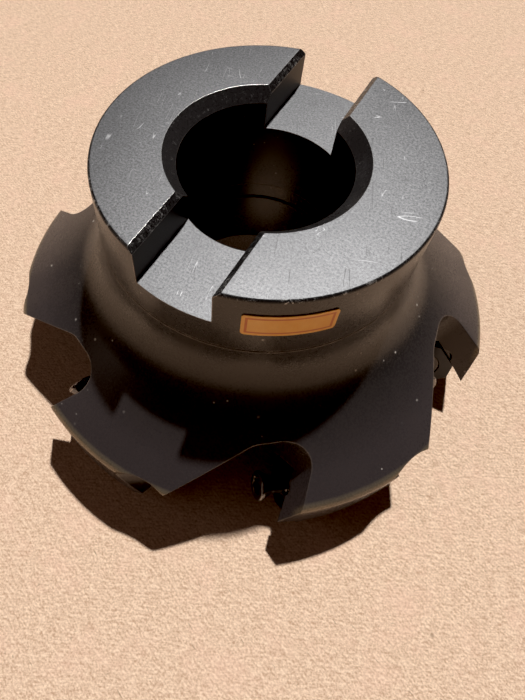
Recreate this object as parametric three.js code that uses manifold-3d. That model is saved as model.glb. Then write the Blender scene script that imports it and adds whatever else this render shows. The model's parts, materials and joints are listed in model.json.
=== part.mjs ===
// Arbor-mounted 45 degree face mill: one turned and milled body with six insert seats.
// Each seat holds a shim, the threaded sleeve that clamps the shim, and an insert screw.
// Millimetres, +Z up. The origin is on the axis at the front (cutting) face of the body,
// the arbor face is on top and the drive slot runs along Y.

import * as THREE from 'three';
import { mergeVertices } from 'three/addons/utils/BufferGeometryUtils.js';
import Module from 'manifold-3d';

const wasm = await Module();
wasm.setup();

const DEG = Math.PI / 180;

// Body
const HEIGHT = 49;
const HUB_RADIUS = 26.43;
const HUB_EDGE_BREAK = 0.5;
const RIM_RADIUS = 44.4;
const RIM_TAPER = 0.5;
const RIM_TOP = HEIGHT - 34.6;
const RIM_BOTTOM = HEIGHT - 43.4;
const RIM_ROUND = 1.6;
const NECK_RADIUS = 13;
const FLANGE_SLOPE = 34 * DEG;
const CONE_ANGLE = 45 * DEG;
const BODY_SEGMENTS = 60;

// Marking groove round the hub
const HUB_GROOVE_DROP = 13.2;
const HUB_GROOVE_WIDTH = 0.5;
const HUB_GROOVE_DEPTH = 0.25;

// Arbor bore with its relief band, and the counterbore for the retaining screw
const BORE_RADIUS = 13.5;
const BORE_CHAMFER = 2.05;
const RELIEF_DEPTH = 0.4;
const RELIEF_TOP = HEIGHT - 20.3;
const RELIEF_BOTTOM = HEIGHT - 24;
const COUNTERBORE_RADIUS = 19;
const COUNTERBORE_DEPTH = 13.5;
const COUNTERBORE_CHAMFER = 0.8;

// Drive slot across the arbor face
const SLOT_WIDTH = 12.4;
const SLOT_DEPTH = 7;
const SLOT_CHAMFER = 0.95;

// Teeth: an even grid, each seat shifted a little from it so that the pitch is uneven,
// and the wall that faces the chip gullet
const TOOTH_START = 10.2 * DEG;
const TOOTH_PITCH = 60 * DEG;
const TOOTH_SHIFTS = [1.8, 0.1, -1.7, -3.4, -1.8, 0].map((angle) => angle * DEG);
const TOOTH_CORNER_RADIUS = 44;
const WALL_LEAN = 23.9 * DEG;
const WALL_RAKE = 7.85 * DEG;
const GULLET_LEVEL = HEIGHT - 33.5;
const GULLET_FLOOR_SLOPE = 0.5;
const GULLET_FLOOR_X = 31.75;
const GULLET_FLOOR_LENGTH = 8.7;
const GULLET_CORNER_RADIUS = 5.6;
const GULLET_BEND_RADIUS = 3.5;
const HEEL_TIP_X = 38.48;
const HEEL_TIP_LEAD = 20.72;

// Insert seat, measured along the seat normal from the gullet wall
const SEAT_LEAN = 16 * DEG;
const SEAT_RAKE = 0 * DEG;
const SEAT_X = 37.2;
const SEAT_DROP = 42.8;
const SEAT_REACH = 10;
const INSERT_HALF = 5.9;
const CORNER_RELIEF_RADIUS = 1.2;
const CORNER_RELIEF_DROP = 2.2;
const INSERT_FLOOR = -2.97;
const SHIM_THICKNESS = 2.4;
const SHIM_HALF_TOP = 4.9;
const SHIM_HALF_BOTTOM = 4.4;
const SHIM_CORNER = 3.4;
const FIT_GAP = 0.1;

// Sleeve (shim screw) and insert screw
const SLEEVE_RADIUS = 2.4;
const SLEEVE_HEAD_RADIUS = 2.9;
const SLEEVE_BORE = 1.78;
const SLEEVE_END = -8.6;
const SLEEVE_HEX_RADIUS = 2.25;
const SLEEVE_HEX_DEPTH = 2.2;
const SCREW_RADIUS = 1.65;
const SCREW_HEAD_RADIUS = 2.6;
const SCREW_HEAD_HEIGHT = 2.3;
const SCREW_LENGTH = 10.6;
const SCREW_HOLE_RADIUS = 1.95;
const SCREW_HOLE_END = -10.4;
const SCREW_REST = 2.3;
const TORX_DEPTH = 1.6;
const DRIVER_RADIUS = 3.7;

// Label on the hub
const LABEL_CENTRE = -53.7 * DEG;
const LABEL_WIDTH = 13;
const LABEL_HEIGHT = 4.8;
const LABEL_TOP = HEIGHT - 3.35;
const LABEL_GAP = 0.05;
const LABEL_THICKNESS = 0.15;

const COLOURS = {
  body: { color: 0x2b2a29, roughness: 0.45, metalness: 0.75 },
  label: { color: 0xd9a13a, roughness: 0.55, metalness: 0 },
  shim: { color: 0x4a4a4c, roughness: 0.4, metalness: 0.8 },
  sleeve: { color: 0x3a3836, roughness: 0.4, metalness: 0.8 },
  screw: { color: 0x1c1b1b, roughness: 0.3, metalness: 0.8 },
};

// ---------- solids ----------

function toSolid(geometry) {
  const bare = geometry.clone();
  for (const name of Object.keys(bare.attributes)) {
    if (name !== 'position') bare.deleteAttribute(name);
  }
  const welded = mergeVertices(bare, 1e-5);
  const index = dropFlatTriangles(welded.index.array);
  const mesh = new wasm.Mesh({
    numProp: 3,
    vertProperties: new Float32Array(welded.attributes.position.array),
    triVerts: new Uint32Array(index),
  });
  return new wasm.Manifold(mesh);
}

function dropFlatTriangles(index) {
  const kept = [];
  for (let i = 0; i < index.length; i += 3) {
    const [a, b, c] = [index[i], index[i + 1], index[i + 2]];
    if (a !== b && b !== c && c !== a) kept.push(a, b, c);
  }
  return kept;
}

function toGeometry(solid) {
  const mesh = solid.getMesh();
  const geometry = new THREE.BufferGeometry();
  geometry.setAttribute('position', new THREE.BufferAttribute(mesh.vertProperties, 3));
  geometry.setIndex(new THREE.BufferAttribute(mesh.triVerts, 1));
  geometry.computeVertexNormals();
  return geometry;
}

// A closed outline of [radius, height] points, listed anticlockwise, turned about Z.
function turned(outline, segments) {
  const points = outline.map(([radius, height]) => new THREE.Vector2(radius, height));
  const onAxis = outline[0][0] === 0;
  if (!onAxis) points.push(points[0].clone());
  const geometry = new THREE.LatheGeometry(points, segments);
  geometry.rotateX(Math.PI / 2);
  return geometry;
}

function extruded(shape, bottom, top, curveSegments = 8) {
  const settings = { depth: top - bottom, bevelEnabled: false, curveSegments };
  const geometry = new THREE.ExtrudeGeometry(shape, settings);
  geometry.translate(0, 0, bottom);
  return geometry;
}

function polygon(points) {
  return new THREE.Shape(points.map(([x, y]) => new THREE.Vector2(x, y)));
}

function cylinder(radius, bottom, top, segments) {
  const geometry = new THREE.CylinderGeometry(radius, radius, top - bottom, segments);
  geometry.rotateX(Math.PI / 2);
  geometry.translate(0, 0, (top + bottom) / 2);
  return geometry;
}

function arcPoints(centre, radius, from, to, steps) {
  const points = [];
  for (let i = 0; i <= steps; i += 1) {
    const angle = from + ((to - from) * i) / steps;
    points.push([centre[0] + radius * Math.cos(angle), centre[1] + radius * Math.sin(angle)]);
  }
  return points;
}

// ---------- frames ----------

// Tooth frame: X outwards through the tooth corner, Y against the cutting direction.
function toothMatrix(index) {
  const angle = TOOTH_START + index * TOOTH_PITCH + TOOTH_SHIFTS[index];
  return new THREE.Matrix4().makeRotationZ(angle);
}

// Sideways shift of the gullet wall for each millimetre down, at one radius.
const WALL_FORWARD = Math.tan(WALL_LEAN);
const RAKE_SLOPE = Math.tan(WALL_RAKE);

function wallLead(x, height) {
  return (GULLET_LEVEL - height) * WALL_FORWARD + (x - TOOTH_CORNER_RADIUS) * RAKE_SLOPE;
}

// Seat frame inside the tooth frame: X outwards, Y up the seat, Z along the screw axis.
function seatMatrix() {
  const height = HEIGHT - SEAT_DROP;
  const outwards = new THREE.Vector3(Math.cos(SEAT_RAKE), -Math.sin(SEAT_RAKE), 0);
  const normal = new THREE.Vector3(
    -Math.sin(SEAT_RAKE) * Math.cos(SEAT_LEAN),
    -Math.cos(SEAT_RAKE) * Math.cos(SEAT_LEAN),
    Math.sin(SEAT_LEAN),
  );
  const upwards = normal.clone().cross(outwards);
  const matrix = new THREE.Matrix4().makeBasis(outwards, upwards, normal);
  matrix.setPosition(SEAT_X, -wallLead(SEAT_X, height), height);
  return matrix;
}

const SEAT = seatMatrix();

function seatToRow(index) {
  return toothMatrix(index).multiply(SEAT);
}

// ---------- body ----------

// The sloping flange runs tangent from the rounded rim up to the concave neck.
function flangeOutline() {
  const turn = Math.PI / 2 - FLANGE_SLOPE;
  const rimCentre = [RIM_RADIUS - RIM_ROUND, RIM_TOP];
  const rim = arcPoints(rimCentre, RIM_ROUND, 0, turn, 3);
  const [rimX, rimZ] = rim[rim.length - 1];
  const neckEndX = HUB_RADIUS + NECK_RADIUS * (1 - Math.cos(turn));
  const neckEndZ = rimZ + (rimX - neckEndX) * Math.tan(FLANGE_SLOPE);
  const neckCentre = [HUB_RADIUS + NECK_RADIUS, neckEndZ + NECK_RADIUS * Math.sin(turn)];
  return [...rim, ...arcPoints(neckCentre, NECK_RADIUS, Math.PI + turn, Math.PI, 7)];
}

function bodyOutline() {
  const grooveMiddle = HEIGHT - HUB_GROOVE_DROP;
  const landBottom = RIM_RADIUS - RIM_TAPER;
  const coneReach = RIM_BOTTOM / Math.tan(CONE_ANGLE);
  const boreBottom = COUNTERBORE_DEPTH;
  return [
    [COUNTERBORE_RADIUS + COUNTERBORE_CHAMFER, 0],
    [landBottom - coneReach, 0],
    [landBottom, RIM_BOTTOM],
    ...flangeOutline(),
    [HUB_RADIUS, grooveMiddle - HUB_GROOVE_WIDTH / 2],
    [HUB_RADIUS - HUB_GROOVE_DEPTH, grooveMiddle],
    [HUB_RADIUS, grooveMiddle + HUB_GROOVE_WIDTH / 2],
    [HUB_RADIUS, HEIGHT - HUB_EDGE_BREAK],
    [HUB_RADIUS - HUB_EDGE_BREAK, HEIGHT],
    [BORE_RADIUS + BORE_CHAMFER, HEIGHT],
    [BORE_RADIUS, HEIGHT - BORE_CHAMFER],
    [BORE_RADIUS, RELIEF_TOP],
    [BORE_RADIUS + RELIEF_DEPTH, RELIEF_TOP - RELIEF_DEPTH],
    [BORE_RADIUS + RELIEF_DEPTH, RELIEF_BOTTOM + RELIEF_DEPTH],
    [BORE_RADIUS, RELIEF_BOTTOM],
    [BORE_RADIUS, boreBottom],
    [COUNTERBORE_RADIUS, boreBottom],
    [COUNTERBORE_RADIUS, COUNTERBORE_CHAMFER],
  ];
}

function slotCutter() {
  const half = SLOT_WIDTH / 2;
  const floor = HEIGHT - SLOT_DEPTH;
  const spread = SLOT_CHAMFER + 1;
  const section = polygon([
    [-half, floor],
    [half, floor],
    [half, HEIGHT - SLOT_CHAMFER],
    [half + spread, HEIGHT + 1],
    [-half - spread, HEIGHT + 1],
    [-half, HEIGHT - SLOT_CHAMFER],
  ]);
  const reach = HUB_RADIUS + 1;
  const geometry = extruded(section, -reach, reach);
  geometry.rotateX(Math.PI / 2);
  return toSolid(geometry);
}

// Plan of a chip gullet at GULLET_LEVEL, with rounded corners, seen in the tooth frame.
// The heel tips lie on the even grid, so the tooth's shift is taken off the tip.
function gulletPlan(shift) {
  const outside = 60;
  const corner = new THREE.Vector2(GULLET_FLOOR_X, -wallLead(GULLET_FLOOR_X, GULLET_LEVEL));
  const bend = new THREE.Vector2(GULLET_FLOOR_X, -GULLET_FLOOR_LENGTH);
  const tip = new THREE.Vector2(HEEL_TIP_X, -HEEL_TIP_LEAD);
  tip.rotateAround(new THREE.Vector2(), -shift);
  const heelDirection = tip.clone().sub(bend).normalize();
  const heelEnd = tip.clone().addScaledVector(heelDirection, 20);
  const wallEnd = new THREE.Vector2(outside, -wallLead(outside, GULLET_LEVEL));
  const shape = new THREE.Shape();
  shape.moveTo(wallEnd.x, wallEnd.y);
  roundCorner(shape, wallEnd, corner, bend, GULLET_CORNER_RADIUS);
  roundCorner(shape, corner, bend, heelEnd, GULLET_BEND_RADIUS);
  shape.lineTo(heelEnd.x, heelEnd.y);
  shape.lineTo(outside, heelEnd.y);
  shape.closePath();
  return shape;
}

// Draws towards a corner point and rounds it with an arc.
function roundCorner(shape, before, corner, after, radius) {
  const back = before.clone().sub(corner).normalize();
  const ahead = after.clone().sub(corner).normalize();
  const opening = Math.acos(back.dot(ahead)) / 2;
  const setback = radius / Math.tan(opening);
  const start = corner.clone().addScaledVector(back, setback);
  const end = corner.clone().addScaledVector(ahead, setback);
  const inside = back.clone().add(ahead).normalize();
  const centre = corner.clone().addScaledVector(inside, radius / Math.sin(opening));
  const from = start.clone().sub(centre).angle();
  const to = end.clone().sub(centre).angle();
  const clockwise = back.cross(ahead) > 0;
  shape.lineTo(start.x, start.y);
  shape.absarc(centre.x, centre.y, radius, from, to, clockwise);
}

// The gullet goes down and inwards, so its plan is extruded upright and then sheared.
function gulletCutter(shift) {
  const above = 12;
  const below = -GULLET_LEVEL - 2;
  const geometry = extruded(gulletPlan(shift), below, above, 6);
  const inwards = GULLET_FLOOR_SLOPE;
  const forwards = WALL_FORWARD - inwards * RAKE_SLOPE;
  const shear = new THREE.Matrix4().set(
    1, 0, inwards, 0,
    0, 1, forwards, 0,
    0, 0, 1, GULLET_LEVEL,
    0, 0, 0, 1,
  );
  geometry.applyMatrix4(shear);
  return toSolid(geometry);
}

// A block turned 45 degrees in the seat plane. Its two far sides stop at the support walls.
function seatBlock(half, floor, top) {
  const run = 14;
  const block = polygon([
    [half, half],
    [-run, half],
    [-run, -run],
    [half, -run],
  ]);
  const geometry = extruded(block, floor, top);
  geometry.rotateZ(Math.PI / 4);
  return geometry;
}

function seatCutters() {
  const pocketHalf = INSERT_HALF + FIT_GAP;
  const insertFloor = INSERT_FLOOR - 0.4;
  const shimFloor = INSERT_FLOOR - SHIM_THICKNESS - FIT_GAP;
  const shimHalf = SHIM_HALF_TOP + FIT_GAP;
  const corner = (pocketHalf - 0.4) * Math.SQRT2;
  const relief = cylinder(CORNER_RELIEF_RADIUS, shimFloor, 6, 12);
  relief.translate(CORNER_RELIEF_DROP, corner - CORNER_RELIEF_DROP, 0);
  const cutters = [
    seatBlock(pocketHalf, insertFloor, SEAT_REACH),
    seatBlock(shimHalf, shimFloor, insertFloor + 1),
    cylinder(SLEEVE_RADIUS + FIT_GAP, SLEEVE_END - FIT_GAP, 0, 20),
    cylinder(SCREW_HOLE_RADIUS, SCREW_HOLE_END, 0, 20),
    relief,
    cylinder(DRIVER_RADIUS, 0, 50, 20),
  ];
  return cutters.map((geometry) => toSolid(geometry.applyMatrix4(SEAT)));
}

function placed(solid, matrix) {
  return solid.transform(matrix.elements);
}

function cutterBody() {
  let body = toSolid(turned(bodyOutline(), BODY_SEGMENTS));
  body = body.subtract(slotCutter());
  const seat = seatCutters();
  TOOTH_SHIFTS.forEach((shift, tooth) => {
    for (const cutter of [gulletCutter(shift), ...seat]) {
      body = body.subtract(placed(cutter, toothMatrix(tooth)));
    }
  });
  return toGeometry(body);
}

// ---------- pieces in a seat ----------

function squareWithCorners(half, corner) {
  return polygon([
    [half, -half + corner],
    [half, half - corner],
    [half - corner, half],
    [-half + corner, half],
    [-half, half - corner],
    [-half, -half + corner],
    [-half + corner, -half],
    [half - corner, -half],
  ]);
}

function shim() {
  const bottom = INSERT_FLOOR - SHIM_THICKNESS;
  const corner = SHIM_CORNER / Math.SQRT2;
  const geometry = extruded(squareWithCorners(SHIM_HALF_TOP, corner), bottom, INSERT_FLOOR);
  const position = geometry.attributes.position;
  const shrink = SHIM_HALF_BOTTOM / SHIM_HALF_TOP;
  for (let i = 0; i < position.count; i += 1) {
    if (position.getZ(i) < bottom + 0.01) {
      position.setX(i, position.getX(i) * shrink);
      position.setY(i, position.getY(i) * shrink);
    }
  }
  geometry.rotateZ(Math.PI / 4);
  const hole = cylinder(SLEEVE_RADIUS + FIT_GAP, bottom - 1, INSERT_FLOOR + 1, 20);
  const sink = turned([
    [0, INSERT_FLOOR - 1.8],
    [SLEEVE_RADIUS + FIT_GAP, INSERT_FLOOR - 1.8],
    [SLEEVE_HEAD_RADIUS + FIT_GAP, INSERT_FLOOR - 1.3],
    [SLEEVE_HEAD_RADIUS + FIT_GAP, INSERT_FLOOR + 1],
    [0, INSERT_FLOOR + 1],
  ], 20);
  return toGeometry(toSolid(geometry).subtract(toSolid(hole)).subtract(toSolid(sink)));
}

function shimScrew() {
  const top = INSERT_FLOOR - FIT_GAP;
  const outline = [
    [SLEEVE_BORE, SLEEVE_END],
    [SLEEVE_RADIUS - 0.4, SLEEVE_END],
    [SLEEVE_RADIUS, SLEEVE_END + 0.4],
    [SLEEVE_RADIUS, top - 1.55],
    [SLEEVE_HEAD_RADIUS, top - 1.1],
    [SLEEVE_HEAD_RADIUS, top - 0.2],
    [SLEEVE_HEAD_RADIUS - 0.2, top],
    [SLEEVE_BORE, top],
  ];
  const hex = cylinder(SLEEVE_HEX_RADIUS, top - SLEEVE_HEX_DEPTH, top + 1, 6);
  return toGeometry(toSolid(turned(outline, 20)).subtract(toSolid(hex)));
}

// Six-lobed socket outline: the radius rises and falls six times round the circle.
function lobedSocket(radius, swing) {
  const points = [];
  const steps = 24;
  for (let i = 0; i < steps; i += 1) {
    const angle = (i / steps) * 2 * Math.PI;
    const reach = radius + swing * Math.cos(6 * angle);
    points.push([reach * Math.cos(angle), reach * Math.sin(angle)]);
  }
  return polygon(points);
}

function insertScrew() {
  const top = SCREW_REST;
  const tip = top - SCREW_LENGTH;
  const outline = [
    [0, tip],
    [SCREW_RADIUS - 0.35, tip],
    [SCREW_RADIUS, tip + 0.5],
    [SCREW_RADIUS, top - SCREW_HEAD_HEIGHT],
    [SCREW_HEAD_RADIUS, top - 0.6],
    [SCREW_HEAD_RADIUS, top - 0.2],
    [SCREW_HEAD_RADIUS - 0.2, top],
    [0, top],
  ];
  const socket = extruded(lobedSocket(1.45, 0.22), top - TORX_DEPTH, top + 1);
  return toGeometry(toSolid(turned(outline, 20)).subtract(toSolid(socket)));
}

// ---------- label ----------

function label() {
  const inner = HUB_RADIUS + LABEL_GAP;
  const outer = inner + LABEL_THICKNESS;
  const half = LABEL_WIDTH / 2 / HUB_RADIUS;
  const band = new THREE.Shape();
  band.absarc(0, 0, outer, LABEL_CENTRE - half, LABEL_CENTRE + half, false);
  band.absarc(0, 0, inner, LABEL_CENTRE + half, LABEL_CENTRE - half, true);
  band.closePath();
  return extruded(band, LABEL_TOP - LABEL_HEIGHT, LABEL_TOP, 8);
}

// ---------- assembly ----------

const mill = new THREE.Group();

function addMesh(name, geometry, look, matrix) {
  const mesh = new THREE.Mesh(geometry, new THREE.MeshStandardMaterial(look));
  mesh.name = name;
  if (matrix) matrix.decompose(mesh.position, mesh.quaternion, mesh.scale);
  mill.add(mesh);
}

addMesh('cutter_body', cutterBody(), COLOURS.body);
addMesh('label', label(), COLOURS.label);

const seatPieces = [
  { name: 'shim', geometry: shim(), look: COLOURS.shim },
  { name: 'shim_screw', geometry: shimScrew(), look: COLOURS.sleeve },
  { name: 'insert_screw', geometry: insertScrew(), look: COLOURS.screw },
];

TOOTH_SHIFTS.forEach((shift, tooth) => {
  for (const piece of seatPieces) {
    addMesh(`${piece.name}_${tooth + 1}`, piece.geometry, piece.look, seatToRow(tooth));
  }
});

export default mill;
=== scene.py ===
"""Looks for the arbor-mounted 45 degree face mill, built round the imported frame."""

import json
import math

import bpy
from mathutils import Matrix, Vector


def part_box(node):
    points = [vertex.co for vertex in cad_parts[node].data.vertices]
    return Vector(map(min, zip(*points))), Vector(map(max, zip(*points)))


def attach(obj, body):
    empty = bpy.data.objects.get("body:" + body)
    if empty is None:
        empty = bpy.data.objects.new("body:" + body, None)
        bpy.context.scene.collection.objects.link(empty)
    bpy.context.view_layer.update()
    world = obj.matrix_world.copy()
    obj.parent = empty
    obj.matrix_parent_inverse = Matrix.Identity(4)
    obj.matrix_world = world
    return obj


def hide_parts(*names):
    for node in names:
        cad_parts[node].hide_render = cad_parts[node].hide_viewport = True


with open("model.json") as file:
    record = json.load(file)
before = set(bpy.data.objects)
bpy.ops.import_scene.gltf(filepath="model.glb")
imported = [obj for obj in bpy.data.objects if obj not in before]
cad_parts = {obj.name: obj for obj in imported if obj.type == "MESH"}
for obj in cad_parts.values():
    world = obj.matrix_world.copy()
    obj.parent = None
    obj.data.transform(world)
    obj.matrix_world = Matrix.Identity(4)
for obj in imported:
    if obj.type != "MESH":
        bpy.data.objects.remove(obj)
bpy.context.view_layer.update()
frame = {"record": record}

MM = 0.001
TEETH = 6
RECORD = frame["record"]
JOINTS = RECORD["behaviour"]["joints"]

# ---------- sizes taken from the frame, in millimetres ----------

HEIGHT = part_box("cutter_body")[1].z / MM
SCREW_AXES = [Vector(joint["axis"]).normalized() for joint in JOINTS]
SEAT_LEAN = math.asin(SCREW_AXES[0].z)
TOOTH_ANGLES = [math.atan2(axis.x, -axis.y) for axis in SCREW_AXES]

# ---------- sizes of the body, in millimetres ----------

HUB_RADIUS = 26.43
HUB_EDGE_BREAK = 0.5
RIM_RADIUS = 44.4
RIM_TAPER = 0.5
RIM_TOP = HEIGHT - 34.6
RIM_BOTTOM = HEIGHT - 43.4
RIM_ROUND = 1.6
NECK_RADIUS = 13
FLANGE_SLOPE = math.radians(34)
GROOVE_DROP = 13.2
GROOVE_HALF = 0.25
BORE_RADIUS = 13.5
BORE_CHAMFER = 2.05
RELIEF_DEPTH = 0.4
RELIEF_TOP = HEIGHT - 20.3
RELIEF_BOTTOM = HEIGHT - 24
COUNTERBORE_RADIUS = 19
COUNTERBORE_DEPTH = 13.5
COUNTERBORE_CHAMFER = 0.8
SLOT_HALF = 6.2
SLOT_DEPTH = 7
SLOT_CHAMFER = 0.95
GRID_START = math.radians(10.2)
GRID_PITCH = math.radians(60)
TOOTH_CORNER_RADIUS = 44
WALL_LEAN = math.radians(23.9)
WALL_RAKE = math.radians(7.85)
GULLET_LEVEL = HEIGHT - 33.5
GULLET_FLOOR_SLOPE = 0.5
GULLET_FLOOR_X = 31.75
GULLET_FLOOR_LENGTH = 8.7
GULLET_CORNER_RADIUS = 5.6
GULLET_BEND_RADIUS = 3.5
GULLET_TOP = 12
OUTSIDE_X = 60
HEEL_TIP_X = 38.48
HEEL_TIP_LEAD = 20.72
HEEL_RUN_OUT = 20
SEAT_X = 37.2
SEAT_DROP = 42.8
SEAT_REACH = 10
SEAT_RUN_OUT = 14
POCKET_HALF = 6
CORNER_RELIEF_RADIUS = 1.2
CORNER_RELIEF_DROP = 2.2
CORNER_RELIEF_INSET = 0.4
CORNER_RELIEF_TOP = 6
INSERT_FLOOR = -2.97
INSERT_FLOOR_RELIEF = 0.4
SHIM_THICKNESS = 2.4
SHIM_HALF = 4.9
SHIM_CORNER = 3.4
SHIM_TAPER = 0.9
SHIM_EDGE_BREAK = 0.12
SLEEVE_RADIUS = 2.4
SLEEVE_HEAD_RADIUS = 2.9
SLEEVE_BORE = 1.78
SLEEVE_END = -8.6
SLEEVE_HEX_RADIUS = 2.25
SLEEVE_HEX_DEPTH = 2.2
SCREW_RADIUS = 1.65
SCREW_HEAD_RADIUS = 2.6
SCREW_HEAD_HEIGHT = 2.3
SCREW_LENGTH = 10.6
SCREW_REST = 2.3
SCREW_HOLE_END = -10.4
SCREW_HOLE_PLAY = 0.3
SOCKET_DEPTH = 1.6
SOCKET_RADIUS = 1.45
SOCKET_SWING = 0.24
DRIVER_RADIUS = 3.7
DRIVER_REACH = 50
FIT_GAP = 0.1
LABEL_CENTRE = math.radians(-53.7)
LABEL_LENGTH = 13
LABEL_GAP = 0.05
LABEL_THICKNESS = 0.15

BODY_SEGMENTS = 240
HUB_EDGE_STEPS = 6
SMOOTH_ANGLE = math.radians(21)


# ---------- mesh building ----------

def make_object(name, points, faces):
    mesh = bpy.data.meshes.new(name)
    mesh.from_pydata([Vector(p) * MM for p in points], [], faces)
    mesh.validate()
    piece = bpy.data.objects.new(name, mesh)
    bpy.context.collection.objects.link(piece)
    return piece


def flip_if_inside_out(piece):
    mesh = piece.data
    mesh.calc_loop_triangles()
    volume = 0.0
    for triangle in mesh.loop_triangles:
        a, b, c = (mesh.vertices[i].co for i in triangle.vertices)
        volume += a.dot(b.cross(c))
    if volume < 0:
        mesh.flip_normals()
    return piece


def turned(name, outline, segments):
    """A closed outline of (radius, height) turned about Z. Points on the axis become poles."""
    points = []
    rings = []
    for radius, height in outline:
        if radius == 0:
            rings.append([len(points)] * segments)
            points.append((0, 0, height))
            continue
        rings.append(range(len(points), len(points) + segments))
        for step in range(segments):
            angle = 2 * math.pi * step / segments
            points.append((radius * math.cos(angle), radius * math.sin(angle), height))
    faces = []
    for ring, following in zip(rings, rings[1:] + rings[:1]):
        if ring[0] == ring[-1] and following[0] == following[-1]:
            continue
        for step in range(segments):
            ahead = (step + 1) % segments
            corners = [ring[step], ring[ahead], following[ahead], following[step]]
            face = list(dict.fromkeys(corners))
            faces.append(face)
    return flip_if_inside_out(make_object(name, points, faces))


def prism(name, outline, bottom, top):
    """A plan outline of (x, y) made into a solid from bottom to top."""
    count = len(outline)
    points = [(x, y, bottom) for x, y in outline] + [(x, y, top) for x, y in outline]
    faces = [list(range(count))[::-1], list(range(count, 2 * count))]
    for i in range(count):
        j = (i + 1) % count
        faces.append([i, j, count + j, count + i])
    return flip_if_inside_out(make_object(name, points, faces))


def rod(name, radius, bottom, top, segments):
    return turned(name, [(0, bottom), (radius, bottom), (radius, top), (0, top)], segments)


def arc(centre, radius, start, end, steps):
    angles = [start + (end - start) * i / steps for i in range(steps + 1)]
    return [(centre[0] + radius * math.cos(a), centre[1] + radius * math.sin(a)) for a in angles]


def move_points(piece, matrix):
    """Places a piece by its points, so that its object stays at the origin."""
    placed = matrix.copy()
    placed.translation = placed.translation * MM
    piece.data.transform(placed)
    if placed.determinant() < 0:
        piece.data.flip_normals()
    return piece


def copy_of(piece, name):
    twin = piece.copy()
    twin.data = piece.data.copy()
    twin.name = name
    bpy.context.collection.objects.link(twin)
    return twin


def cut(piece, cutters):
    """Takes the cutters away from a piece and keeps the result as its mesh."""
    for cutter in cutters:
        modifier = piece.modifiers.new("cut", "BOOLEAN")
        modifier.operation = "DIFFERENCE"
        modifier.solver = "MANIFOLD"
        modifier.object = cutter
    graph = bpy.context.evaluated_depsgraph_get()
    result = bpy.data.meshes.new_from_object(piece.evaluated_get(graph))
    piece.modifiers.clear()
    piece.data = result
    for cutter in cutters:
        bpy.data.objects.remove(cutter)
    return piece


def smooth_sides(piece):
    piece.data.shade_smooth()
    piece.data.set_sharp_from_angle(angle=SMOOTH_ANGLE)


# ---------- frames ----------

def tooth_matrix(index):
    return Matrix.Rotation(TOOTH_ANGLES[index], 4, "Z")


def wall_lead(x, height):
    down = (GULLET_LEVEL - height) * math.tan(WALL_LEAN)
    return down + (x - TOOTH_CORNER_RADIUS) * math.tan(WALL_RAKE)


def seat_matrix():
    height = HEIGHT - SEAT_DROP
    outwards = Vector((1, 0, 0))
    normal = Vector((0, -math.cos(SEAT_LEAN), math.sin(SEAT_LEAN)))
    upwards = normal.cross(outwards)
    matrix = Matrix((outwards, upwards, normal)).transposed().to_4x4()
    matrix.translation = (SEAT_X, -wall_lead(SEAT_X, height), height)
    return matrix


SEAT = seat_matrix()


# ---------- cutter body ----------

def flange_outline():
    turn = math.pi / 2 - FLANGE_SLOPE
    rim = arc((RIM_RADIUS - RIM_ROUND, RIM_TOP), RIM_ROUND, 0, turn, 10)
    rim_x, rim_z = rim[-1]
    neck_x = HUB_RADIUS + NECK_RADIUS * (1 - math.cos(turn))
    neck_z = rim_z + (rim_x - neck_x) * math.tan(FLANGE_SLOPE)
    centre = (HUB_RADIUS + NECK_RADIUS, neck_z + NECK_RADIUS * math.sin(turn))
    return rim + arc(centre, NECK_RADIUS, math.pi + turn, math.pi, 26)


def body_outline():
    groove = HEIGHT - GROOVE_DROP
    land = RIM_RADIUS - RIM_TAPER
    hub_edge = (HUB_RADIUS - HUB_EDGE_BREAK, HEIGHT - HUB_EDGE_BREAK)
    return [
        (COUNTERBORE_RADIUS + COUNTERBORE_CHAMFER, 0),
        (land - RIM_BOTTOM, 0),
        (land, RIM_BOTTOM),
        *flange_outline(),
        (HUB_RADIUS, groove - GROOVE_HALF),
        (HUB_RADIUS - GROOVE_HALF, groove),
        (HUB_RADIUS, groove + GROOVE_HALF),
        *arc(hub_edge, HUB_EDGE_BREAK, 0, math.pi / 2, HUB_EDGE_STEPS),
        (BORE_RADIUS + BORE_CHAMFER, HEIGHT),
        (BORE_RADIUS, HEIGHT - BORE_CHAMFER),
        (BORE_RADIUS, RELIEF_TOP),
        (BORE_RADIUS + RELIEF_DEPTH, RELIEF_TOP - RELIEF_DEPTH),
        (BORE_RADIUS + RELIEF_DEPTH, RELIEF_BOTTOM + RELIEF_DEPTH),
        (BORE_RADIUS, RELIEF_BOTTOM),
        (BORE_RADIUS, COUNTERBORE_DEPTH),
        (COUNTERBORE_RADIUS, COUNTERBORE_DEPTH),
        (COUNTERBORE_RADIUS, COUNTERBORE_CHAMFER),
    ]


def slot_cutter():
    spread = SLOT_CHAMFER + 1
    floor = HEIGHT - SLOT_DEPTH
    section = [
        (-SLOT_HALF, floor),
        (SLOT_HALF, floor),
        (SLOT_HALF, HEIGHT - SLOT_CHAMFER),
        (SLOT_HALF + spread, HEIGHT + 1),
        (-SLOT_HALF - spread, HEIGHT + 1),
        (-SLOT_HALF, HEIGHT - SLOT_CHAMFER),
    ]
    cutter = prism("slot_cutter", section, -HUB_RADIUS - 1, HUB_RADIUS + 1)
    return move_points(cutter, Matrix.Rotation(math.pi / 2, 4, "X"))


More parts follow.
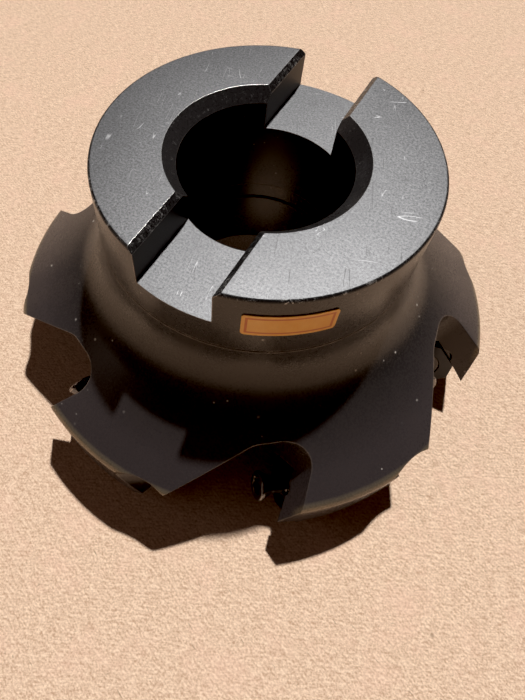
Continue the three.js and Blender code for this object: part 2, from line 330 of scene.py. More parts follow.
def rounded(before, corner, after, radius, steps):
    """Points of an arc that rounds a corner between two others."""
    back = (before - corner).normalized()
    ahead = (after - corner).normalized()
    opening = math.acos(back.dot(ahead)) / 2
    start = corner + back * radius / math.tan(opening)
    end = corner + ahead * radius / math.tan(opening)
    centre = corner + (back + ahead).normalized() * radius / math.sin(opening)
    first = math.atan2(start.y - centre.y, start.x - centre.x)
    last = math.atan2(end.y - centre.y, end.x - centre.x)
    turn = (last - first + math.pi) % (2 * math.pi) - math.pi
    return arc(centre, radius, first, first + turn, steps)


def gullet_plan(index):
    """Plan of one gullet in its tooth frame. The heel tips lie on an even grid."""
    off_grid = GRID_START + index * GRID_PITCH - TOOTH_ANGLES[index]
    corner = Vector((GULLET_FLOOR_X, -wall_lead(GULLET_FLOOR_X, GULLET_LEVEL)))
    bend = Vector((GULLET_FLOOR_X, -GULLET_FLOOR_LENGTH))
    tip = Matrix.Rotation(off_grid, 2) @ Vector((HEEL_TIP_X, -HEEL_TIP_LEAD))
    heel_end = tip + (tip - bend).normalized() * HEEL_RUN_OUT
    wall_end = Vector((OUTSIDE_X, -wall_lead(OUTSIDE_X, GULLET_LEVEL)))
    return [
        tuple(wall_end),
        *rounded(wall_end, corner, bend, GULLET_CORNER_RADIUS, 18),
        *rounded(corner, bend, heel_end, GULLET_BEND_RADIUS, 10),
        tuple(heel_end),
        (OUTSIDE_X, heel_end.y),
    ]


def gullet_cutter(index):
    inwards = GULLET_FLOOR_SLOPE
    forwards = math.tan(WALL_LEAN) - inwards * math.tan(WALL_RAKE)
    shear = Matrix((
        (1, 0, inwards, 0),
        (0, 1, forwards, 0),
        (0, 0, 1, GULLET_LEVEL),
        (0, 0, 0, 1),
    ))
    cutter = prism("gullet_cutter", gullet_plan(index), -GULLET_LEVEL - 2, GULLET_TOP)
    return move_points(cutter, shear)


def seat_block(half, floor, top):
    run = SEAT_RUN_OUT
    plan = [(half, half), (-run, half), (-run, -run), (half, -run)]
    block = prism("seat_block", plan, floor, top)
    return move_points(block, Matrix.Rotation(math.pi / 4, 4, "Z"))


def seat_cutters():
    insert_floor = INSERT_FLOOR - INSERT_FLOOR_RELIEF
    shim_floor = INSERT_FLOOR - SHIM_THICKNESS - FIT_GAP
    corner = (POCKET_HALF - CORNER_RELIEF_INSET) * math.sqrt(2)
    relief = rod("corner_relief", CORNER_RELIEF_RADIUS, shim_floor, CORNER_RELIEF_TOP, 24)
    move_points(relief, Matrix.Translation((CORNER_RELIEF_DROP, corner - CORNER_RELIEF_DROP, 0)))
    cutters = [
        seat_block(POCKET_HALF, insert_floor, SEAT_REACH),
        seat_block(SHIM_HALF + FIT_GAP, shim_floor, insert_floor + 1),
        rod("sleeve_hole", SLEEVE_RADIUS + FIT_GAP, SLEEVE_END - FIT_GAP, 0, 40),
        rod("screw_hole", SCREW_RADIUS + SCREW_HOLE_PLAY, SCREW_HOLE_END, 0, 40),
        relief,
        rod("driver_groove", DRIVER_RADIUS, 0, DRIVER_REACH, 48),
    ]
    return [move_points(cutter, SEAT) for cutter in cutters]


def cutter_body():
    body = turned("mill_body", body_outline(), BODY_SEGMENTS)
    seat = seat_cutters()
    cutters = [slot_cutter()]
    for index in range(TEETH):
        twins = [copy_of(cutter, f"{cutter.name}_{index}") for cutter in seat]
        for cutter in [gullet_cutter(index), *twins]:
            cutters.append(move_points(cutter, tooth_matrix(index)))
    for cutter in seat:
        bpy.data.objects.remove(cutter)
    cut(body, cutters)
    smooth_sides(body)
    return body


# ---------- pieces in a seat ----------

def shim():
    bottom = INSERT_FLOOR - SHIM_THICKNESS
    half = SHIM_HALF
    corner = SHIM_CORNER / math.sqrt(2)
    outline = [
        (half, corner - half), (half, half - corner),
        (half - corner, half), (corner - half, half),
        (-half, half - corner), (-half, corner - half),
        (corner - half, -half), (half - corner, -half),
    ]
    block = prism("shim_block", outline, bottom, INSERT_FLOOR)
    for vertex in block.data.vertices:
        if vertex.co.z < (bottom + 0.01) * MM:
            vertex.co.x *= SHIM_TAPER
            vertex.co.y *= SHIM_TAPER
    move_points(block, Matrix.Rotation(math.pi / 4, 4, "Z"))
    bevel = block.modifiers.new("edges", "BEVEL")
    bevel.width = SHIM_EDGE_BREAK * MM
    bevel.segments = 2
    hole = rod("shim_hole", SLEEVE_RADIUS + FIT_GAP, bottom - 1, INSERT_FLOOR + 1, 48)
    sink = turned("shim_sink", [
        (0, INSERT_FLOOR - 1.8),
        (SLEEVE_RADIUS + FIT_GAP, INSERT_FLOOR - 1.8),
        (SLEEVE_HEAD_RADIUS + FIT_GAP, INSERT_FLOOR - 1.3),
        (SLEEVE_HEAD_RADIUS + FIT_GAP, INSERT_FLOOR + 1),
        (0, INSERT_FLOOR + 1),
    ], 48)
    return cut(block, [hole, sink])


def sleeve():
    top = INSERT_FLOOR - FIT_GAP
    outline = [
        (SLEEVE_BORE, SLEEVE_END),
        (SLEEVE_RADIUS - 0.4, SLEEVE_END),
        (SLEEVE_RADIUS, SLEEVE_END + 0.4),
        (SLEEVE_RADIUS, top - 1.55),
        (SLEEVE_HEAD_RADIUS, top - 1.1),
        (SLEEVE_HEAD_RADIUS, top - 0.25),
        (SLEEVE_HEAD_RADIUS - 0.07, top - 0.07),
        (SLEEVE_HEAD_RADIUS - 0.25, top),
        (SLEEVE_BORE, top),
    ]
    hexagon = rod("hex", SLEEVE_HEX_RADIUS, top - SLEEVE_HEX_DEPTH, top + 1, 6)
    return cut(turned("sleeve", outline, 48), [hexagon])


def lobed_outline(radius, swing, steps):
    """A round outline with six lobes."""
    outline = []
    for step in range(steps):
        angle = 2 * math.pi * step / steps
        reach = radius + swing * math.cos(6 * angle)
        outline.append((reach * math.cos(angle), reach * math.sin(angle)))
    return outline


SCREW_TIP_LENGTH = 0.6
SCREW_PLAIN_NECK = 2.2
THREAD_PITCH = 0.6
THREAD_DEPTH = 0.2
THREAD_TURN_STEPS = 36
THREAD_ROWS = 12


def thread_radius(height, angle, bottom, top):
    """Radius of the threaded shank, with the thread fading out at both ends."""
    phase = (height / THREAD_PITCH - angle / (2 * math.pi)) % 1
    valley = 1 - abs(2 * phase - 1)
    fade = min(1, max(0, (height - bottom) / THREAD_PITCH), max(0, (top - height) / THREAD_PITCH))
    return SCREW_RADIUS - THREAD_DEPTH * valley * fade


def screw_rows():
    """Heights up the screw, with a plain radius or None where the thread sets it."""
    top = SCREW_REST
    tip = top - SCREW_LENGTH
    neck = top - SCREW_HEAD_HEIGHT
    thread_top = neck - SCREW_PLAIN_NECK
    thread_bottom = tip + SCREW_TIP_LENGTH
    rows = [(tip, SCREW_RADIUS - 0.4), (tip + 0.35, SCREW_RADIUS - 0.1)]
    threaded = thread_top - tip - SCREW_TIP_LENGTH
    count = round(threaded / THREAD_PITCH * THREAD_ROWS)
    for step in range(count + 1):
        rows.append((thread_bottom + threaded * step / count, None))
    rows += [(neck - 0.15, SCREW_RADIUS), (neck + 0.05, SCREW_RADIUS + 0.06)]
    rows += [(top - 0.72, SCREW_HEAD_RADIUS - 0.1), (top - 0.6, SCREW_HEAD_RADIUS)]
    rows += [(top - 0.24, SCREW_HEAD_RADIUS), (top - 0.1, SCREW_HEAD_RADIUS - 0.07)]
    rows += [(top, SCREW_HEAD_RADIUS - 0.26)]
    return rows, thread_bottom, thread_top


def insert_screw():
    rows, thread_bottom, thread_top = screw_rows()
    points = []
    for height, radius in rows:
        for step in range(THREAD_TURN_STEPS):
            angle = 2 * math.pi * step / THREAD_TURN_STEPS
            reach = radius or thread_radius(height, angle, thread_bottom, thread_top)
            points.append((reach * math.cos(angle), reach * math.sin(angle), height))
    faces = [list(range(THREAD_TURN_STEPS))[::-1]]
    for row in range(len(rows) - 1):
        base = row * THREAD_TURN_STEPS
        for step in range(THREAD_TURN_STEPS):
            ahead = (step + 1) % THREAD_TURN_STEPS
            above = base + THREAD_TURN_STEPS
            faces.append([base + step, base + ahead, above + ahead, above + step])
    faces.append(list(range(len(points) - THREAD_TURN_STEPS, len(points))))
    screw = flip_if_inside_out(make_object("screw", points, faces))
    lobes = lobed_outline(SOCKET_RADIUS, SOCKET_SWING, 72)
    socket = prism("socket", lobes, SCREW_REST - SOCKET_DEPTH, SCREW_REST + 1)
    return cut(screw, [socket])


# ---------- label ----------

def hub_label():
    """A thin curved plate on the hub, as large as its CAD node, with rounded corners."""
    low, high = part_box("label")
    inner = HUB_RADIUS + LABEL_GAP
    outer = inner + LABEL_THICKNESS
    half_turn = LABEL_LENGTH / 2 / HUB_RADIUS
    columns = 64
    rows = 20
    corner = 0.5
    bottom, top = low.z / MM, high.z / MM
    points = []
    for radius in (inner, outer):
        for column in range(columns + 1):
            along = (column / columns * 2 - 1) * half_turn
            distance = (half_turn - abs(along)) * HUB_RADIUS
            inset = corner - math.sqrt(max(0, corner ** 2 - max(0, corner - distance) ** 2))
            for row in range(rows + 1):
                height = bottom + inset + (top - bottom - 2 * inset) * row / rows
                angle = LABEL_CENTRE + along
                points.append((radius * math.cos(angle), radius * math.sin(angle), height))
    layer = (columns + 1) * (rows + 1)

    def at(side, column, row):
        return side * layer + column * (rows + 1) + row

    faces = []
    for column in range(columns):
        for row in range(rows):
            quad = [(column, row), (column + 1, row), (column + 1, row + 1), (column, row + 1)]
            faces.append([at(1, c, r) for c, r in quad])
            faces.append([at(0, c, r) for c, r in quad[::-1]])
        for row in (0, rows):
            rim = [(0, column), (0, column + 1), (1, column + 1), (1, column)]
            faces.append([at(side, c, row) for side, c in rim])
    for row in range(rows):
        for column in (0, columns):
            rim = [(0, row), (1, row), (1, row + 1), (0, row + 1)]
            faces.append([at(side, column, r) for side, r in rim])
    return flip_if_inside_out(make_object("hub_sticker", points, faces))


# ---------- materials ----------

class Nodes:
    """Short calls for building one material's nodes. Coordinates are in millimetres."""

    def __init__(self, name):
        self.material = bpy.data.materials.new(name)
        self.material.use_nodes = True
        self.tree = self.material.node_tree
        self.shader = self.tree.nodes["Principled BSDF"]
        where = self.add("ShaderNodeTexCoord")
        scale = self.add("ShaderNodeVectorMath", operation="SCALE")
        scale.inputs["Scale"].default_value = 1 / MM
        self.link(where.outputs["Object"], scale.inputs[0])
        self.place = scale.outputs[0]

    def add(self, kind, **settings):
        node = self.tree.nodes.new(kind)
        for key, value in settings.items():
            setattr(node, key, value)
        return node

    def link(self, source, target):
        self.tree.links.new(source, target)

    def streaks(self, turn, length, width, detail=3, roughness=0.6, distortion=0.0):
        """Noise drawn out along one direction in plan, for fibres and scratches."""
        node = self.add("ShaderNodeMapping", vector_type="TEXTURE")
        node.inputs["Rotation"].default_value = (0, 0, turn)
        node.inputs["Scale"].default_value = (length, width, 1)
        self.link(self.place, node.inputs["Vector"])
        return self.noise(1.0, detail, roughness, node.outputs[0], distortion)

    def noise(self, scale, detail=4, roughness=0.55, place=None, distortion=0.0):
        node = self.add("ShaderNodeTexNoise")
        node.inputs["Scale"].default_value = scale
        node.inputs["Detail"].default_value = detail
        node.inputs["Roughness"].default_value = roughness
        node.inputs["Distortion"].default_value = distortion
        self.link(place or self.place, node.inputs["Vector"])
        return node.outputs["Fac"]

    def spots(self, scale, radius, keep):
        """Small round specks in some cells of a Voronoi grid."""
        node = self.add("ShaderNodeTexVoronoi")
        node.inputs["Scale"].default_value = scale
        self.link(self.place, node.inputs["Vector"])
        near = self.ramp(node.outputs["Distance"], [(radius * 0.6, 1), (radius, 0)])
        pick = self.add("ShaderNodeSeparateColor")
        self.link(node.outputs["Color"], pick.inputs[0])
        chosen = self.ramp(pick.outputs[0], [(1 - keep, 0), (1 - keep + 0.01, 1)])
        return self.math("MULTIPLY", near, chosen)

    def ramp(self, source, stops):
        node = self.add("ShaderNodeValToRGB")
        elements = node.color_ramp.elements
        while len(elements) < len(stops):
            elements.new(0.5)
        for element, (position, value) in zip(elements, stops):
            element.position = position
            colour = value if isinstance(value, tuple) else (value, value, value)
            element.color = (*colour, 1)
        self.link(source, node.inputs["Fac"])
        return node.outputs["Color"]

    def math(self, operation, first, second, clamp=False):
        node = self.add("ShaderNodeMath", operation=operation, use_clamp=clamp)
        for socket, value in zip(node.inputs, (first, second)):
            if isinstance(value, (int, float)):
                socket.default_value = value
            else:
                self.link(value, socket)
        return node.outputs[0]

    def mix(self, factor, first, second):
        node = self.add("ShaderNodeMix", data_type="RGBA")
        node.inputs["Factor"].default_value = 0
        if isinstance(factor, (int, float)):
            node.inputs["Factor"].default_value = factor
        else:
            self.link(factor, node.inputs["Factor"])
        for socket, value in ((node.inputs[6], first), (node.inputs[7], second)):
            if isinstance(value, tuple):
                socket.default_value = (*value, 1)
            else:
                self.link(value, socket)
        return node.outputs[2]

    def edges(self, radius, low, high):
        """How far the surface bends within a radius: 1 along edges, which the finishes paint
        lighter.
        """
        bevel = self.add("ShaderNodeBevel", samples=6)
        bevel.inputs["Radius"].default_value = radius * MM
        normal = self.add("ShaderNodeNewGeometry").outputs["Normal"]
        dot = self.add("ShaderNodeVectorMath", operation="DOT_PRODUCT")
        self.link(bevel.outputs[0], dot.inputs[0])
        self.link(normal, dot.inputs[1])
        bend = self.math("SUBTRACT", 1.0, dot.outputs["Value"])
        return self.ramp(bend, [(low, 0), (high, 1)]), bevel.outputs[0]

    def bump(self, height, distance, strength=1.0, normal=None):
        node = self.add("ShaderNodeBump")
        node.inputs["Distance"].default_value = distance * MM
        node.inputs["Strength"].default_value = strength
        self.link(height, node.inputs["Height"])
        if normal is not None:
            self.link(normal, node.inputs["Normal"])
        return node.outputs[0]

    def finish(self, colour, roughness, normal, metallic, **settings):
        self.link(colour, self.shader.inputs["Base Color"])
        self.link(roughness, self.shader.inputs["Roughness"])
        self.link(normal, self.shader.inputs["Normal"])
        if isinstance(metallic, (int, float)):
            self.shader.inputs["Metallic"].default_value = metallic
        else:
            self.link(metallic, self.shader.inputs["Metallic"])
        for key, value in settings.items():
            self.shader.inputs[key].default_value = value
        return self.material


def radius_and_height(n):
    """The distance from the cutter's axis and the height above its front face."""
    split = n.add("ShaderNodeSeparateXYZ")
    n.link(n.place, split.inputs[0])
    across = n.math("POWER", split.outputs["X"], 2)
    along = n.math("POWER", split.outputs["Y"], 2)
    return n.math("SQRT", n.math("ADD", across, along), 0), split.outputs["Z"]


# How light glances off the oil held in black oxide.
OXIDE_SHEEN = {"IOR": 1.5, "Specular Tint": (1.0, 0.93, 0.87, 1)}


def painted_rim_sheen(n, radius, height):
    """Painted sheen on the rounded rim, a reflection painted as colour: 1 on the rounding, fading
    down the land.
    """
    outer = n.ramp(n.math("SUBTRACT", radius, RIM_RADIUS - 1.5), [(0.35, 0), (0.95, 1)])
    below = n.math("MULTIPLY", n.math("SUBTRACT", height, RIM_TOP - 3), 0.25)
    return n.math("MULTIPLY", outer, n.ramp(below, [(0.2, 0), (0.75, 1)]))


def black_oxide(name, dark, brown, rough, edge_wear_and_highlight=0.7, specks=True, rim=False, metal=0.0):
    """Black oxide on machined steel: brown-black and satin; its edges are painted light, partly as
    wear down to steel and partly as a painted highlight.
    """
    n = Nodes(name)
    cloud = n.noise(0.09, 5, 0.6)
    fine = n.noise(2.6, 4, 0.7)
    colour = n.mix(n.ramp(cloud, [(0.35, 0), (0.7, 1)]), dark, brown)
    mottle = n.ramp(fine, [(0.5, 0), (0.75, 1)])
    colour = n.mix(n.math("MULTIPLY", mottle, 0.35), colour, (0.075, 0.068, 0.062))
    # Edges painted light: partly wear down to steel, partly a painted highlight along the bend.
    edge, soft = n.edges(0.28, 0.01, 0.06)
    edge_patches = n.ramp(n.noise(0.55, 4, 0.65), [(0.3, 0.35), (0.6, 1)])
    bare_and_highlight = n.math("MULTIPLY", n.math("MULTIPLY", edge, edge_patches), edge_wear_and_highlight)
    colour = n.mix(bare_and_highlight, colour, (0.8, 0.7, 0.62))
    if rim:
        radius, height = radius_and_height(n)
        # Painted lighter towards the rim: partly a lighter flange tone, partly a painted sheen.
        outer_tone_and_sheen = n.ramp(n.math("MULTIPLY", radius, 0.01), [(0.31, 0), (0.4, 1)])
        colour = n.mix(n.math("MULTIPLY", outer_tone_and_sheen, 0.85), colour, (0.052, 0.044, 0.045))
        # Painted sheen on the rim: a warm reflection painted into the colour, and made more
        # metallic there.
        patchy = n.ramp(cloud, [(0.3, 0.5), (0.6, 1)])
        rub_and_sheen = n.math("MULTIPLY", painted_rim_sheen(n, radius, height), patchy)
        colour = n.mix(n.math("MULTIPLY", rub_and_sheen, 0.6), colour, (0.33, 0.27, 0.18))
        bare_and_highlight = n.math("MAXIMUM", bare_and_highlight, n.math("MULTIPLY", rub_and_sheen, 0.8))
    if specks:
        dust = n.math("MAXIMUM", n.spots(0.3, 0.08, 0.35), n.spots(0.55, 0.09, 0.25))
        crowd = n.ramp(n.noise(0.13, 3, 0.6), [(0.42, 0.12), (0.6, 1)])
        dusty = n.math("MULTIPLY", n.math("MULTIPLY", dust, crowd), 0.9)
        colour = n.mix(dusty, colour, (0.62, 0.58, 0.53))
    roughness = n.math("ADD", n.math("MULTIPLY", fine, 0.16), n.math("MULTIPLY", cloud, 0.12))
    roughness = n.math("ADD", roughness, rough - 0.14)
    bump = n.bump(fine, 0.012, 0.5, soft)
    metallic = n.math("MAXIMUM", n.math("MULTIPLY", bare_and_highlight, 0.6, clamp=True), metal)
    return n.finish(colour, roughness, bump, metallic, **OXIDE_SHEEN)


def scratches(n, turn, length, spacing, width, amount):
    """Long thin scratches along one direction, broken up by a slow noise."""
    lines = n.streaks(turn, length, spacing, 1, 0.4, 0.3)
    thin = n.ramp(lines, [(0.5 - width, 0), (0.5, 1), (0.5 + width, 0)])
    patch = n.ramp(n.streaks(turn + 0.9, 7, 4, 2), [(1 - amount, 0), (1.03 - amount, 1)])
    return n.math("MULTIPLY", thin, patch)


def ground_steel(name, tone, rough, metallic=1.0):
    """Ground steel: satin grey with fine grain, marks from handling and dark pits."""
    n = Nodes(name)
    grain = n.noise(3.0, 6, 0.85)
    cloud = n.noise(0.07, 4, 0.5)
    mottle = n.noise(0.8, 5, 0.75)
    shade = tuple(channel * 0.52 for channel in tone)
    pale = tuple(channel * 1.42 for channel in tone)
    colour = n.mix(n.ramp(grain, [(0.4, 0), (0.6, 1)]), shade, pale)
    colour = n.mix(n.math("MULTIPLY", n.ramp(cloud, [(0.35, 0), (0.7, 1)]), 0.25), colour, shade)
    colour = n.mix(n.math("MULTIPLY", n.ramp(mottle, [(0.5, 0), (0.75, 1)]), 0.4), colour, shade)
    long_marks = n.math("MAXIMUM", scratches(n, 1.9, 26, 2.2, 0.006, 0.45),
                        scratches(n, 0.35, 22, 2.6, 0.005, 0.42))
    hooks = scratches(n, 1.2, 2.6, 1.7, 0.006, 0.38)
    marks = n.math("MAXIMUM", long_marks, hooks)
    colour = n.mix(n.math("MULTIPLY", marks, 0.6), colour, (0.6, 0.6, 0.61))
    pits = n.math("MAXIMUM", n.spots(0.8, 0.07, 0.2), n.spots(2.4, 0.09, 0.1))
    colour = n.mix(n.math("MULTIPLY", pits, 0.6), colour, (0.12, 0.115, 0.11))
    edge, soft = n.edges(0.14, 0.02, 0.12)
    colour = n.mix(n.math("MULTIPLY", edge, 0.6), colour, (0.75, 0.74, 0.72))
    roughness = n.math("ADD", n.math("MULTIPLY", grain, 0.25), rough - 0.12)
    height = n.math("ADD", grain, n.math("MULTIPLY", marks, 0.8))
    return n.finish(colour, roughness, n.bump(height, 0.025, 0.8, soft), metallic)


def chamfer_steel(name, black, least):
    """A chamfer with its black worn off in nicks and bright flecks."""
    n = Nodes(name)
    flecks = n.noise(1.7, 6, 0.8, distortion=0.8)
    slow = n.noise(0.35, 3, 0.6)
    worn_off = n.ramp(flecks, [(least, 0), (least + 0.07, 1)])
    wear = n.math("MULTIPLY", worn_off, n.ramp(slow, [(0.42, 0), (0.6, 1)]))
    colour = n.mix(wear, black, (0.6, 0.59, 0.57))
    edge, soft = n.edges(0.16, 0.015, 0.1)
    colour = n.mix(n.math("MULTIPLY", edge, 0.75), colour, (0.72, 0.7, 0.67))
    roughness = n.math("ADD", n.math("MULTIPLY", flecks, 0.3), 0.14)
    metallic = n.math("MAXIMUM", n.math("MAXIMUM", wear, edge), 0.45)
    return n.finish(colour, roughness, n.bump(flecks, 0.03, 0.5, soft), metallic)


def sticker_material():
    """A plain amber sticker with a thin orange frame and a slightly rubbed print."""
    n = Nodes("sticker")
    low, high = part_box("label")
    middle = (low.z + high.z) / 2 / MM
    half_height = (high.z - low.z) / 2 / MM
    split = n.add("ShaderNodeSeparateXYZ")
    n.link(n.place, split.inputs[0])
    angle = n.math("ARCTAN2", split.outputs["Y"], split.outputs["X"])
    off_centre = n.math("SUBTRACT", angle, LABEL_CENTRE)
    along = n.math("ABSOLUTE", n.math("MULTIPLY", off_centre, HUB_RADIUS), 0)
    up = n.math("ABSOLUTE", n.math("SUBTRACT", split.outputs["Z"], middle), 0)
    from_end = n.math("SUBTRACT", LABEL_LENGTH / 2, along)
    from_top = n.math("SUBTRACT", half_height, up)
    inset = n.math("MINIMUM", from_end, from_top)
    line_stops = [(0.24, 0), (0.26, 1), (0.42, 1), (0.44, 0)]
    frame_line = n.ramp(n.math("MULTIPLY", inset, 0.5), line_stops)
    fade = n.ramp(n.noise(0.4, 4), [(0.3, 0), (0.75, 1)])
    colour = n.mix(fade, (0.88, 0.42, 0.08), (0.95, 0.55, 0.16))
    colour = n.mix(n.math("MULTIPLY", frame_line, 0.85), colour, (0.62, 0.13, 0.04))
    rub_and_sheen = n.ramp(n.noise(3.5, 4, 0.7), [(0.62, 0), (0.72, 1)])
    colour = n.mix(n.math("MULTIPLY", rub_and_sheen, 0.4), colour, (0.5, 0.34, 0.2))
    roughness = n.math("ADD", n.math("MULTIPLY", fade, 0.15), 0.3)
    return n.finish(colour, roughness, n.bump(rub_and_sheen, 0.02, 0.4), 0.0)


def carbide():
    n = Nodes("ground_carbide")
    grain = n.noise(4.0, 4, 0.7)
    colour = n.mix(grain, (0.03, 0.03, 0.031), (0.075, 0.075, 0.078))
    edge, soft = n.edges(0.12, 0.02, 0.12)
    colour = n.mix(n.math("MULTIPLY", edge, 0.5), colour, (0.4, 0.4, 0.4))
    roughness = n.math("ADD", n.math("MULTIPLY", grain, 0.2), 0.28)
    return n.finish(colour, roughness, n.bump(grain, 0.01, 0.5, soft), 0.85)


def floor_paper():
    """A pale, warm, fibrous sheet with a few dark fibres and pinkish patches."""
    n = Nodes("pale_floor")
    grain = n.noise(2.6, 6, 0.75)
    crossed = n.math("ADD", n.streaks(0.5, 2.0, 0.36), n.streaks(-0.3, 1.7, 0.36))
    fibre = n.math("MULTIPLY", crossed, 0.5)
    blend = n.math("ADD", n.math("MULTIPLY", grain, 0.55), n.math("MULTIPLY", fibre, 0.45))
    colour = n.mix(n.ramp(blend, [(0.42, 0), (0.58, 1)]), (0.54, 0.345, 0.225), (0.98, 0.745, 0.55))
    pink = n.ramp(n.noise(0.11, 4, 0.6), [(0.5, 0), (0.7, 1)])
    colour = n.mix(n.math("MULTIPLY", pink, 0.3), colour, (0.9, 0.58, 0.44))
    dark = n.math("MAXIMUM", n.ramp(n.streaks(-0.35, 2.4, 0.45, 1), [(0.72, 0), (0.78, 1)]),
                  n.ramp(n.streaks(0.9, 2.0, 0.4, 1), [(0.74, 0), (0.8, 1)]))
    specks = n.math("MAXIMUM", n.spots(0.16, 0.06, 0.4), n.spots(0.5, 0.08, 0.2))
    dark = n.math("MULTIPLY", n.math("MAXIMUM", dark, specks), 0.6)
    colour = n.mix(dark, colour, (0.28, 0.18, 0.11))
    roughness = n.math("ADD", n.math("MULTIPLY", grain, 0.1), 0.8)
    return n.finish(colour, roughness, n.bump(blend, 0.22, 0.6), 0.0)


def backdrop_paper():
    """The pale wall far behind the cutter. It is only seen, and lights nothing."""
    n = Nodes("pale_backdrop")
    cloud = n.noise(0.001, 3)
    glow = n.add("ShaderNodeEmission")
    n.link(n.mix(cloud, (0.74, 0.56, 0.42), (0.82, 0.63, 0.48)), glow.inputs["Color"])
    n.link(glow.outputs[0], n.tree.nodes["Material Output"].inputs["Surface"])
    return n.material


# ---------- assembly ----------

GROUND, CHAMFER, BLACK, BARE, PAINTED_SHADE, SMOOTH = range(6)


def face_finish(centre, normal):
    """Which finish a face of the body has, from where it lies and how it faces."""
    x, y, z = centre / MM
    if normal.z > 0.99 and (z > HEIGHT - 0.05 or abs(z - HEIGHT + SLOT_DEPTH) < 0.05):
        return GROUND
    radius = math.hypot(x, y)
    tilted = 0.1 < normal.z < 0.99
    if tilted and z > HEIGHT - BORE_CHAMFER - 0.1:
        towards_axis = -(x * normal.x + y * normal.y) / radius
        return SMOOTH if towards_axis > 0.6 else CHAMFER
    # Slot walls and the marking groove take a near-black finish: painted shade in the recess and
    # the crease.
    in_slot = z > HEIGHT - SLOT_DEPTH - 0.05 and abs(abs(x) - SLOT_HALF) < 0.05
    in_groove = abs(z - HEIGHT + GROOVE_DROP) < GROOVE_HALF and radius < HUB_RADIUS - 0.02
    if in_slot or (in_groove and radius > BORE_RADIUS + 1):
        return PAINTED_SHADE
    if normal.z < -0.99 and z < 0.05:
        return GROUND
    if z < COUNTERBORE_DEPTH + 0.1 and radius < COUNTERBORE_RADIUS + 0.9:
        return BARE
    return BLACK


def paint_body(body):
    body.data.materials.clear()
    body.data.materials.append(ground_steel("ground_face", (0.183, 0.184, 0.188), 0.53))
    body.data.materials.append(chamfer_steel("worn_chamfer", (0.026, 0.025, 0.025), 0.54))
    body.data.materials.append(black_oxide(
        "black_oxide", (0.018, 0.0168, 0.0168), (0.028, 0.0245, 0.0225), 0.28, rim=True))
    body.data.materials.append(ground_steel("bare_counterbore", (0.64, 0.62, 0.6), 0.45, 0.5))
    # Painted shade: the near-black finish of the slot walls and the groove.
    body.data.materials.append(black_oxide(
        "slot_painted_shade", (0.003, 0.003, 0.003), (0.006, 0.005, 0.005), 0.5, edge_wear_and_highlight=0.4, specks=False))
    body.data.materials.append(chamfer_steel("bore_chamfer", (0.042, 0.04, 0.04), 0.6))
    for polygon in body.data.polygons:
        polygon.material_index = face_finish(polygon.center, polygon.normal)


def add_piece(piece, node, body, material=None):
    if material is not None:
        piece.data.materials.clear()
        piece.data.materials.append(material)
    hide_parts(node)
    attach(piece, body)


def add_seat_pieces():
    masters = [
        ("shim", shim(), "shim", carbide()),
        ("shim_screw", sleeve(), "sleeve", black_oxide(
            "sleeve_black", (0.06, 0.057, 0.057), (0.09, 0.084, 0.08), 0.28,
            edge_wear_and_highlight=0.8, specks=False, metal=0.6)),
        ("insert_screw", insert_screw(), "screw", black_oxide(
            "screw_black", (0.16, 0.16, 0.168), (0.2, 0.197, 0.2), 0.19,
            edge_wear_and_highlight=1.0, specks=False, metal=0.85)),
    ]
    for kind, master, slot_name, material in masters:
        for index in range(TEETH):
            node = f"{kind}_{index + 1}"
            twin = move_points(copy_of(master, f"fine_{node}"), tooth_matrix(index) @ SEAT)
            smooth_sides(twin)
            body = node if kind == "insert_screw" else "cutter"
            add_piece(twin, node, body, material)
        bpy.data.objects.remove(master)


body = cutter_body()
paint_body(body)
add_piece(body, "cutter_body", "cutter")
label = hub_label()
smooth_sides(label)
add_piece(label, "label", "cutter", sticker_material())
add_seat_pieces()

# ---------- floor, light and camera ----------

FLOOR_REACH = 4000
FLOOR_DROP = 0.02
KEY_ANGLES = (97, 67)
KEY_POWER = 3.48
KEY_SPREAD = math.radians(2)
FILL_ANGLES = (215, 40)
FILL_DISTANCE = 0.9
FILL_POWER = 0.35
FILL_SIZE = 0.5
ROOM_COLOUR = (1.0, 0.48, 0.4, 1)
ROOM_STRENGTH = 0.025
BLACK_LEVEL = (0.005, 0.0055, 0.0055)

corners = [(-FLOOR_REACH, -FLOOR_REACH), (FLOOR_REACH, -FLOOR_REACH),
           (FLOOR_REACH, FLOOR_REACH), (-FLOOR_REACH, FLOOR_REACH)]
floor = make_object("floor", [(x, y, -FLOOR_DROP) for x, y in corners], [[0, 1, 2, 3]])
floor.data.materials.append(floor_paper())

dome_arc = arc((0, 0), FLOOR_REACH, 0, math.pi / 2, 24)[:-1]
backdrop = turned("backdrop", [*dome_arc, (0, FLOOR_REACH), (0, -1)], 64)
backdrop.data.shade_smooth()
backdrop.data.materials.append(backdrop_paper())
backdrop.visible_diffuse = False
backdrop.visible_glossy = False
backdrop.visible_shadow = False


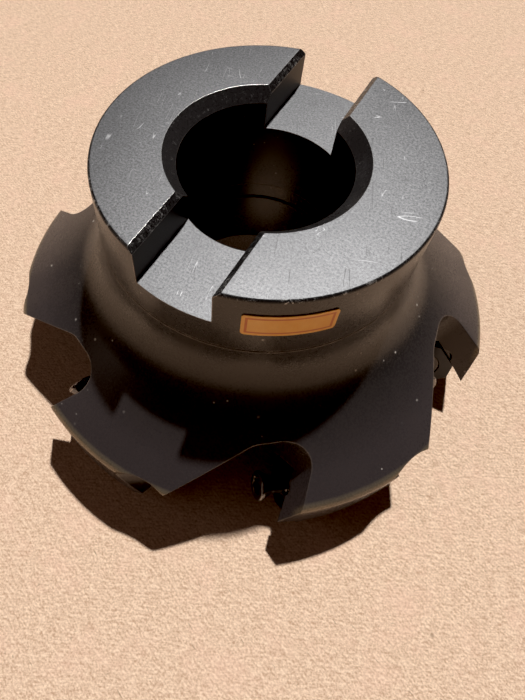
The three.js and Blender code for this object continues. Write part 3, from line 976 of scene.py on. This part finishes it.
def towards(azimuth, elevation):
    """The direction of a light, from its azimuth and elevation in degrees."""
    a, e = math.radians(azimuth), math.radians(elevation)
    return Vector((math.cos(a) * math.cos(e), math.sin(a) * math.cos(e), math.sin(e)))


def add_light(name, kind, direction, distance, power, colour):
    """A light aimed at the middle of the cutter."""
    light = bpy.data.lights.new(name, kind)
    light.energy = power
    light.color = colour
    lamp = bpy.data.objects.new(name, light)
    bpy.context.collection.objects.link(lamp)
    lamp.location = Vector((0, 0, HEIGHT / 2 * MM)) + direction * distance
    lamp.rotation_mode = "QUATERNION"
    lamp.rotation_quaternion = direction.to_track_quat("Z", "Y")
    return light


key = add_light("key", "SUN", towards(*KEY_ANGLES), 1.6, KEY_POWER, (1.0, 0.985, 0.97))
key.angle = KEY_SPREAD
fill = add_light(
    "fill", "AREA", towards(*FILL_ANGLES), FILL_DISTANCE, FILL_POWER, (1.0, 0.82, 0.72))
fill.shape = "DISK"
fill.size = FILL_SIZE

world = bpy.data.worlds.new("studio")
world.use_nodes = True
room = world.node_tree.nodes["Background"]
room.inputs["Color"].default_value = ROOM_COLOUR
room.inputs["Strength"].default_value = ROOM_STRENGTH
bpy.context.scene.world = world
view = bpy.context.scene.view_settings
view.view_transform = "Standard"
view.use_curve_mapping = True
view.curve_mapping.black_level = BLACK_LEVEL
view.curve_mapping.update()

CAMERA_PLACE = Vector((25.8669, -59.8154, 107.8219))
CAMERA_RIGHT = Vector((0.849322, 0.527871, 0.002111))
CAMERA_UP = Vector((-0.449236, 0.720690, 0.528009))
CAMERA_BACK = Vector((0.277199, -0.449398, 0.849236))
CAMERA_LENS = 29.277
CAMERA_SHIFT = (0.0857, -0.0543)

camera_data = bpy.data.cameras.new("camera")
camera_data.sensor_width = 36
camera_data.lens = CAMERA_LENS
camera_data.shift_x, camera_data.shift_y = CAMERA_SHIFT
camera_data.clip_start = 0.005
camera = bpy.data.objects.new("camera", camera_data)
bpy.context.collection.objects.link(camera)
camera.matrix_world = Matrix((CAMERA_RIGHT, CAMERA_UP, CAMERA_BACK)).transposed().to_4x4()
camera.location = CAMERA_PLACE * MM
bpy.context.scene.camera = camera
